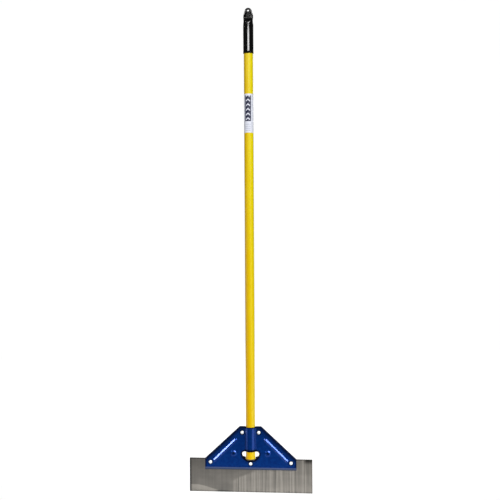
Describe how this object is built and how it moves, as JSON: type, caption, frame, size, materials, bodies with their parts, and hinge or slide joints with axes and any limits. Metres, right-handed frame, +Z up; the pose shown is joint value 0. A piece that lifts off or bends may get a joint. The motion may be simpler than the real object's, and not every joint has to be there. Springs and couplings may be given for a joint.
{
  "type": "long-handled floor scraper",
  "caption": "Long-handled floor scraper: a flat steel blade riveted between two pressed head plates that clamp a tube handle with a hanging cap.",
  "frame": {"origin": "middle of the cutting edge, at the lowest point of the blade", "axes": "+X along the cutting edge to the right, +Z up along the handle, front face towards -Y"},
  "size_m": [0.4, 0.0342, 1.571],
  "materials": {
    "blade_steel": "rolled and ground, oiled",
    "blue_powder_coat": "glossy enamel",
    "rivet_zinc": "bright zinc plate",
    "yellow_handle": "smooth gloss coat",
    "black_plastic": "moulded gloss",
    "label_paper": "printed and laminated"
  },
  "bodies": {
    "root": {"blade": "blade_steel", "front_plate": "blue_powder_coat", "rear_plate": "blue_powder_coat", "rivet_top_left": "rivet_zinc", "rivet_top_right": "rivet_zinc", "rivet_bottom_left": "rivet_zinc", "rivet_bottom_centre": "rivet_zinc", "rivet_bottom_right": "rivet_zinc", "handle_tube": "yellow_handle", "end_cap": "black_plastic", "label": "label_paper"}
  },
  "joints": []
}
